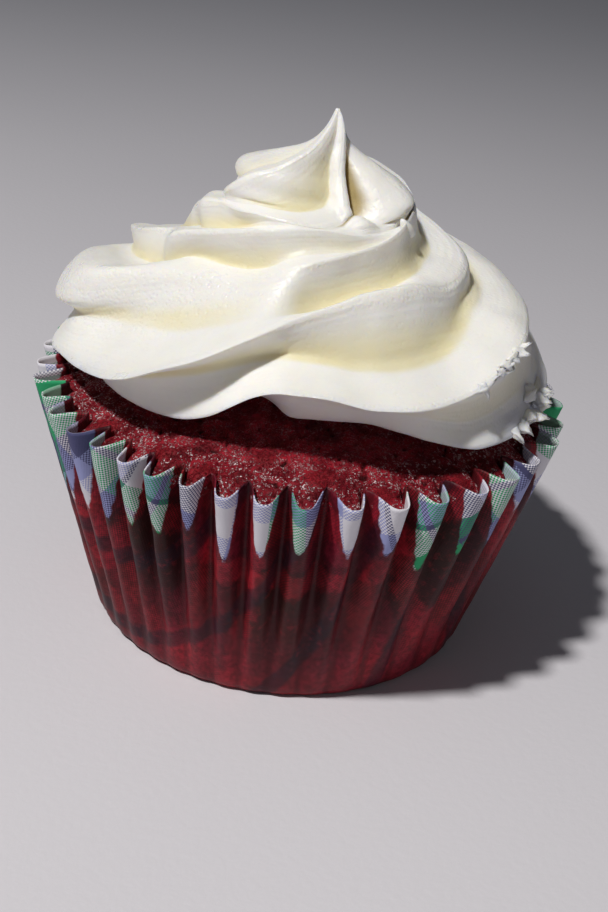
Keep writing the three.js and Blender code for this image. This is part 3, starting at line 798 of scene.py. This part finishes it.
# painted warm shade: the deep parts are tinted yellow where light glows through them in shade, narrow on the side that
# faces up, broad on the side that overhangs
painted_warm_shade = np.where(ft < f_at, smooth(fw, .90, 1.0), smooth(fw, .15, 1.0)) * smooth(fd, 0.4, 2.4)
# painted shade: a dark yellow-brown in the cleft beside the topmost ridge
section = np.floor((START_AZ - TT) / 60.0 + 1e-9).astype(int) % 6 + 1
painted_cleft_shade = (section == 5) * smooth(SS, 287, 294) * (1 - smooth(SS, 350, 366)) * smooth(ft, .64, .76) * (1 - smooth(ft, .93, .98))
shiny = np.maximum(0.8 * (1 - smooth(fw, 0.03, 0.16)) * smooth(fd, 0.6, 1.6), near_crest(4, 132, 36, .5))
frosting = body_from_rows("frosting_fine", frost_rows, (0, 0, dome(0) - 0.9), tip, row_heights(frost_rows),
                          {"painted_warm_shade": (np.concatenate([zeros, painted_warm_shade]), 0, 0), "painted_cleft_shade": (np.concatenate([zeros, painted_cleft_shade]), 0, 0),
                           "shiny": (np.concatenate([zeros, shiny]), 0, 0),
                           "travel": (np.concatenate([zeros, SS / 400.0]), 0, 1)}, flip=True)


def rag(j, s, t, length, half_w, half_t, lift, seed):
    """A small torn tongue, rooted in the frosting: a closed lump with a ragged end."""
    at = np.array([START_AZ - 60.0 * (j - 1) - 60.0 * t - 1e-6]), np.array([float(s) + 60 * t])
    root = frosting_surface(*at)[0][0]
    az = math.atan2(root[1], root[0])
    ahead = np.array([math.cos(az), math.sin(az), lift])
    ahead /= np.linalg.norm(ahead)
    side = np.array([-math.sin(az), math.cos(az), 0.0])
    up = np.cross(ahead, side)
    cols_n, rows_n = 14, 9
    a = np.arange(cols_n) / cols_n * 2 * np.pi
    rows = []
    for k in range(rows_n):
        x = k / (rows_n - 1)
        size = (1 - 0.86 * x ** 1.7) * (1 + 0.15 * math.sin(5 * x + seed))
        w = size * half_w * (1 + 0.30 * np.sin(3 * a + seed * 1.7 + 4 * x))
        h = size * half_t * (1 + 0.35 * np.sin(2 * a + seed * 2.3 + 5 * x))
        reach = -0.7 + (length + 0.7) * x + 0.36 * x * length * (np.sin(2 * a + seed) + 0.7 * np.sin(5 * a + 2 * seed))
        rows.append(root + np.outer(reach, ahead) + np.outer(w * np.cos(a), side) + np.outer(h * np.sin(a), up))
    rows = np.array(rows)
    flat_rows = rows.reshape(-1, 3)
    return rows + (0.22 * ripple(flat_rows, 0.45, 90 + seed)).reshape(rows.shape[:2])[..., None] * (rows - rows.mean((0, 1)))


def joined(name, lumps):
    """Several closed lumps of rows of points as one mesh, each with its own square of the bake map."""
    verts, faces, uvs = [], [], []
    across = math.ceil(math.sqrt(len(lumps)))
    for n, rows in enumerate(lumps):
        R, C = rows.shape[:2]
        base = len(verts)
        verts += [tuple(p) for p in rows.reshape(-1, 3) * MM] + [tuple(rows[0].mean(0) * MM), tuple(rows[-1].mean(0) * MM)]
        ox, oy, k = (n % across) / across, (n // across) / across, 0.94 / across

        def place(c, r):
            return ox + k * c / C, oy + k * (r + 1) / (R + 1)

        for r in range(R - 1):
            for c in range(C):
                c2 = (c + 1) % C
                faces.append((base + r * C + c, base + r * C + c2, base + (r + 1) * C + c2, base + (r + 1) * C + c))
                uvs += [place(c, r), place(c + 1, r), place(c + 1, r + 1), place(c, r + 1)]
        for c in range(C):
            c2 = (c + 1) % C
            faces.append((base + R * C, base + c2, base + c))
            uvs += [place(c + .5, -1), place(c + 1, 0), place(c, 0)]
            faces.append((base + R * C + 1, base + (R - 1) * C + c, base + (R - 1) * C + c2))
            uvs += [place(c + .5, R), place(c, R - 1), place(c + 1, R - 1)]
    me = bpy.data.meshes.new(name)
    me.from_pydata(verts, [], faces)
    me.polygons.foreach_set("use_smooth", np.ones(len(faces), bool))
    me.uv_layers.new(name="OFBake").data.foreach_set("uv", np.array(uvs, np.float32).ravel())
    ob = bpy.data.objects.new(name, me)
    bpy.context.scene.collection.objects.link(ob)
    return ob


def tongue(path, girth):
    """A smooth lobe along a path of points, given with its girth at each of them: a closed lump."""
    path, u, s = np.array(path, float), np.linspace(0, 1, 17), np.linspace(0, 1, len(path))
    line = np.stack([monotone(u, s, path[:, c]) for c in range(3)], -1)
    size = monotone(u, s, girth) * np.sqrt(np.clip(1 - u ** 5, 0.01, 1))
    ahead = np.gradient(line, axis=0)
    ahead /= np.linalg.norm(ahead, axis=1, keepdims=True)
    side = np.cross(ahead, (0.0, 0.3, 1.0))
    side /= np.linalg.norm(side, axis=1, keepdims=True)
    up = np.cross(ahead, side)
    a = np.arange(20) / 20 * 2 * np.pi
    return (line[:, None] + size[:, None, None] * (np.cos(a)[None, :, None] * side[:, None] + 0.8 * np.sin(a)[None, :, None] * up[:, None]))


# the end of the fifth ridge curls up
TONGUES = [([(11.0, -6.0, 56.4), (10.7, -6.5, 57.2), (10.3, -6.8, 57.9), (9.9, -6.9, 58.4)], [1.0, 0.85, 0.6, 0.4])]
rags_body = joined("frosting_rags", [rag(*r, seed=n) for n, r in enumerate(RAGS)] + [tongue(*t) for t in TONGUES])

# ------------------------------------------------------------------ frosting material
m = Nodes("frosting_cream")
pos = m.new("ShaderNodeTexCoord").outputs["Object"]
# painted warm shade: the deep parts and overhanging sides are tinted yellow in place of light glowing through the cream
# in shade
painted_warm_shade_v = m.attr("painted_warm_shade").outputs["Fac"]
cloud = m.noise(pos, 160.0, 3.0)
painted_warm_amount = m.math("MULTIPLY", painted_warm_shade_v, m.span(cloud, 0.2, 0.8, 0.75, 1.1, False), clamp=True)
body = m.ramp(cloud, [(0.3, (0.88, 0.862, 0.822)), (0.7, (0.915, 0.903, 0.875))])
colour = m.mix(painted_warm_amount, body, (0.86, 0.785, 0.52))
# painted shade: the cleft beside the topmost ridge is painted dark yellow-brown
colour = m.mix(m.math("MULTIPLY", m.attr("painted_cleft_shade").outputs["Fac"], 0.95), colour, (0.46, 0.35, 0.14))
fine = m.noise(pos, 2600.0, 3.0, 0.6)
pit = m.new("ShaderNodeTexVoronoi", feature="F1")
m.put(pit.inputs["Vector"], pos)
pit.inputs["Scale"].default_value = 1500.0
pit_h = m.span(pit.outputs["Distance"], 0.0, 0.5, 0.0, 1.0)
height = m.math("ADD", m.math("MULTIPLY", fine, 0.6), m.math("MULTIPLY", pit_h, 0.4))
shiny_v = m.attr("shiny").outputs["Fac"]
height = m.math("MULTIPLY", height, m.span(shiny_v, 0.0, 1.0, 1.0, 2.8, False))
rough = m.math("SUBTRACT", m.span(m.noise(pos, 420.0, 2.0), 0.3, 0.7, 0.38, 0.48, False), m.math("MULTIPLY", shiny_v, 0.17))
m.principled(Base_Color=colour, Roughness=rough, Subsurface_Weight=0.7, Subsurface_Scale=0.0010,
             Subsurface_Radius=(1.0, 0.86, 0.55), IOR=1.45, Specular_IOR_Level=0.5,
             Normal=m.bump(height, 0.00006, 0.9))
frosting.data.materials.append(m.mat)
rags_body.data.materials.append(m.mat)

# ------------------------------------------------------------------ sponge material
m = Nodes("sponge_crimson")
pos = m.new("ShaderNodeTexCoord").outputs["Object"]
relief_v = m.attr("relief").outputs["Fac"]
sleek_v = m.attr("sleek").outputs["Fac"]
tone = m.noise(pos, 330.0, 4.0, 0.6)
body = m.ramp(tone, [(0.24, (0.060, 0.003, 0.006)), (0.5, (0.215, 0.006, 0.015)), (0.76, (0.49, 0.015, 0.034))])
# painted shade: the low places of the crumb relief are darkened
low = m.span(relief_v, -0.35, 0.05)
body = m.mix(low, (0.040, 0.002, 0.003), body)
body = m.mix(m.math("MULTIPLY", sleek_v, 0.6), body, (0.22, 0.010, 0.016))
# painted glints: light dots painted on the crumb stand in for the highlights of moist grains, with lower roughness on
# them
ragged = m.new("ShaderNodeTexNoise")
m.put(ragged.inputs["Vector"], pos)
ragged.inputs["Scale"].default_value = 2400.0
moved = m.new("ShaderNodeVectorMath", operation="MULTIPLY_ADD")
m.put(moved.inputs[0], ragged.outputs["Color"])
moved.inputs[1].default_value = (0.0010, 0.0010, 0.0010)
m.put(moved.inputs[2], pos)
cell = m.new("ShaderNodeTexVoronoi", feature="F1")
m.put(cell.inputs["Vector"], moved.outputs[0])
cell.inputs["Scale"].default_value = 3300.0
sep = m.new("ShaderNodeSeparateColor")
m.put(sep.inputs[0], cell.outputs["Color"])
patch = m.span(m.noise(pos, 330.0, 3.0, 0.6), 0.37, 0.60, 0.92, -0.06, False)
chosen = m.math("GREATER_THAN", sep.outputs[0], patch)
core = m.span(cell.outputs["Distance"], 0.54, 0.28)
painted_glint = m.math("MULTIPLY", m.math("MULTIPLY", chosen, core), m.span(relief_v, -0.12, 0.06))
# fewer painted glints close to the frosting, where its shade falls
flat_at = m.new("ShaderNodeVectorMath", operation="MULTIPLY")
m.put(flat_at.inputs[0], pos)
flat_at.inputs[1].default_value = (1, 1, 0)
out_at = m.new("ShaderNodeVectorMath", operation="LENGTH")
m.put(out_at.inputs[0], flat_at.outputs[0])
painted_glint = m.math("MULTIPLY", painted_glint, m.span(out_at.outputs["Value"], 0.0250, 0.0282, 0.24, 1.0))
painted_glint = m.math("MULTIPLY", painted_glint, m.span(sleek_v, 0.9, 0.1))
painted_glint = m.math("MULTIPLY", painted_glint, m.math("POWER", m.span(sep.outputs[1], 0.0, 1.0, 0.25, 1.0, False), 1.3))
colour = m.mix(painted_glint, body, (1.0, 0.84, 0.87))
rough = m.span(painted_glint, 0.0, 0.7, 0.48, 0.15, False)
grain = m.noise(pos, 1900.0, 3.0, 0.7)
m.principled(Base_Color=colour, Roughness=rough, Specular_IOR_Level=0.24, IOR=1.4,
             Normal=m.bump(m.math("ADD", grain, m.math("MULTIPLY", core, 0.9)), 0.00030, 1.0))
cake.data.materials.append(m.mat)

# ------------------------------------------------------------------ paper material
WHITE, BLUE, NAVY, GREEN, MINT = (0.74, 0.72, 0.78), (0.33, 0.35, 0.62), (0.085, 0.085, 0.19), (0.03, 0.36, 0.15), (0.22, 0.66, 0.42)
# one repeat of the tartan: where each stripe starts, and its colour
SETT = [(0.0, WHITE), (0.17, BLUE), (0.27, NAVY), (0.44, GREEN), (0.58, NAVY), (0.61, GREEN), (0.72, WHITE), (0.86, NAVY), (0.89, BLUE)]
# what grease and red dye from the sponge make of each of them
SOAKED = {WHITE: (0.45, 0.020, 0.036), BLUE: (0.22, 0.012, 0.032), NAVY: (0.038, 0.007, 0.014), GREEN: (0.030, 0.012, 0.009)}
SOAKED_SETT = [(0.0, SOAKED[BLUE])] + [(max(p + d, 0.004), SOAKED[c]) for n, (p, c) in enumerate(SETT)
                                       for d, c in ((-0.012, SETT[n - 1][1]), (0.018, c)) if p + d > 0]
SETT_MM = 27.5
WEAVE_MM = 0.44
m = Nodes("paper_tartan")
pos = m.new("ShaderNodeTexCoord").outputs["Object"]
disc_v = m.attr("disc").outputs["Vector"]
xyz = m.new("ShaderNodeSeparateXYZ")
m.put(xyz.inputs[0], disc_v)
X, Y, S = xyz.outputs
ramps, soaked = [], []
# the print bleeds and wanders where grease has soaked it
bleed = m.math("MULTIPLY", m.math("SUBTRACT", m.noise(pos, 330.0, 6.0, 0.75), 0.5), m.span(m.attr("dry").outputs["Fac"], 0.0, -0.5, 0.0, 5.5))
for axis, shift in ((X, 0.60), (Y, 0.11)):
    fr = m.math("FRACT", m.math("ADD", m.math("DIVIDE", m.math("ADD", axis, bleed), SETT_MM), 10 + shift))
    ramps.append(m.ramp(fr, SETT, "CONSTANT"))
    soaked.append(m.ramp(fr, SOAKED_SETT, "LINEAR"))
ka = 2 * math.pi / WEAVE_MM
weave = m.math("MULTIPLY", m.math("SINE", m.math("MULTIPLY", X, ka)), m.math("SINE", m.math("MULTIPLY", Y, ka)))
weave = m.span(weave, -0.10, 0.10)
# grease and dye from the sponge
dry_v = m.attr("dry").outputs["Fac"]
edge_noise = m.math("SUBTRACT", m.noise(pos, 900.0, 3.0), 0.5)
wet = m.span(m.math("ADD", dry_v, m.math("MULTIPLY", edge_noise, 0.9)), 0.16, -0.14)
# grease hides the weave
weave = m.mix(m.math("MULTIPLY", wet, 0.30), weave, 0.5)
printed = m.mix(weave, ramps[0], ramps[1])
soak = m.mix(weave, soaked[0], soaked[1])
blot = m.noise(pos, 260.0, 3.0, 0.6)
soak = m.mix(m.span(blot, 0.35, 0.75, 0.0, 0.40), soak, (0.055, 0.008, 0.011))
streaks = m.noise(m.attr("streak").outputs["Vector"], 1.9, 3.0, 0.6)
soak = m.mix(m.span(streaks, 0.46, 0.66, 0.0, 0.50), soak, (0.034, 0.006, 0.0065))
near_floor = m.span(S, 46.0, 27.0)
bars = m.math("SINE", m.math("MULTIPLY", m.math("ADD", m.math("MULTIPLY", X, 0.8), m.math("MULTIPLY", Y, 0.6)), 2 * math.pi / 13.0))
soak = m.mix(m.span(bars, 0.72, 0.92, 0.0, 0.72), soak, (0.024, 0.012, 0.024))
soak = m.mix(m.math("MULTIPLY", near_floor, m.span(bars, 0.72, 0.92, 0.42, 0.05)), soak, (0.33, 0.020, 0.035))
# mottled where the grease stands in the fibres
speck = m.noise(pos, 1500.0, 4.0, 0.72)
soak = m.mix(m.span(speck, 0.38, 0.60, 0.55, 0.0, False), soak, (0.038, 0.005, 0.006))
soak = m.mix(m.span(m.noise(pos, 800.0, 4.0, 0.7), 0.52, 0.74, 0.0, 0.30), soak, (0.40, 0.030, 0.045))
# painted shade: the inner folds of the pleats are darkened
painted_valley_shade = m.span(m.attr("fold").outputs["Fac"], -0.25, -1.0)
soak = m.mix(m.math("MULTIPLY", painted_valley_shade, 0.47), soak, (0.060, 0.006, 0.009))
colour = m.mix(wet, printed, soak)
inside_v = m.attr("inside").outputs["Fac"]
colour = m.mix(m.math("MULTIPLY", m.math("MULTIPLY", inside_v, m.math("SUBTRACT", 1.0, wet)), 0.35), colour, (0.78, 0.76, 0.80))
fold_v = m.attr("fold").outputs["Fac"]
fibre = m.noise(pos, 1500.0, 3.0, 0.6)
threads = m.math("MULTIPLY", m.math("SINE", m.math("MULTIPLY", X, ka * 1.0)), m.math("SINE", m.math("MULTIPLY", Y, ka * 1.0)))
height = m.math("ADD", fibre, m.math("MULTIPLY", threads, 0.15))
rough = m.span(wet, 0.0, 1.0, 0.62, 0.46, False)
m.principled(Base_Color=colour, Roughness=rough, Specular_IOR_Level=0.2, IOR=1.45, Normal=m.bump(height, 0.00005, 0.8))
case.data.materials.append(m.mat)

# ------------------------------------------------------------------ the frame
for piece, node, slot in ((case, "paper_case", "case_paper"), (cake, "cake", "red_sponge"), (frosting, "frosting", "white_frosting")):
    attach(piece, "root")
    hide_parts(node)
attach(rags_body, "root")

# ------------------------------------------------------------------ floor and light
floor_mesh = bpy.data.meshes.new("floor")
fl = 3.0
floor_mesh.from_pydata([(-fl, -fl, 0), (fl, -fl, 0), (fl, fl, 0), (-fl, fl, 0)], [], [(0, 1, 2, 3)])
floor = bpy.data.objects.new("floor", floor_mesh)
bpy.context.scene.collection.objects.link(floor)
m = Nodes("floor_pale")
pos = m.new("ShaderNodeTexCoord").outputs["Object"]
tone = m.noise(pos, 6.0, 2.0)
along = m.new("ShaderNodeSeparateXYZ")
m.put(along.inputs[0], pos)
pale = m.ramp(tone, [(0.3, (0.665, 0.645, 0.69)), (0.7, (0.71, 0.69, 0.73))])
# painted shade: the floor is painted darker towards the back
m.principled(Base_Color=m.mix(m.span(along.outputs[1], -0.04, 0.55), pale, (0.40, 0.40, 0.44)), Roughness=0.85, Specular_IOR_Level=0.2,
             Normal=m.bump(m.noise(pos, 900.0, 3.0), 0.0001, 0.5))
floor.data.materials.append(m.mat)


def area(name, towards, distance, size, power, colour=(1, 1, 1), aim=(0, 0, 0.035)):
    d = Vector(towards).normalized()
    data = bpy.data.lights.new(name, "AREA")
    data.shape = "DISK"
    data.size = size
    data.energy = power
    data.color = colour
    o = bpy.data.objects.new(name, data)
    o.location = Vector(aim) + d * distance
    o.rotation_mode = "QUATERNION"
    o.rotation_quaternion = d.to_track_quat("Z", "Y")
    bpy.context.scene.collection.objects.link(o)
    return o


area("key", (-0.345, -0.36, 0.868), 0.75, 0.06, 4.95, (1.0, 0.985, 0.95))
area("fill", (0.75, -0.9, 0.55), 1.1, 0.8, 0.36, (1.0, 0.955, 0.89))
world = bpy.data.worlds.new("world")
world.use_nodes = True
world.node_tree.nodes["Background"].inputs[0].default_value = (0.84, 0.86, 0.96, 1)
world.node_tree.nodes["Background"].inputs[1].default_value = 0.07
bpy.context.scene.world = world
bpy.context.scene.view_settings.view_transform = "Standard"
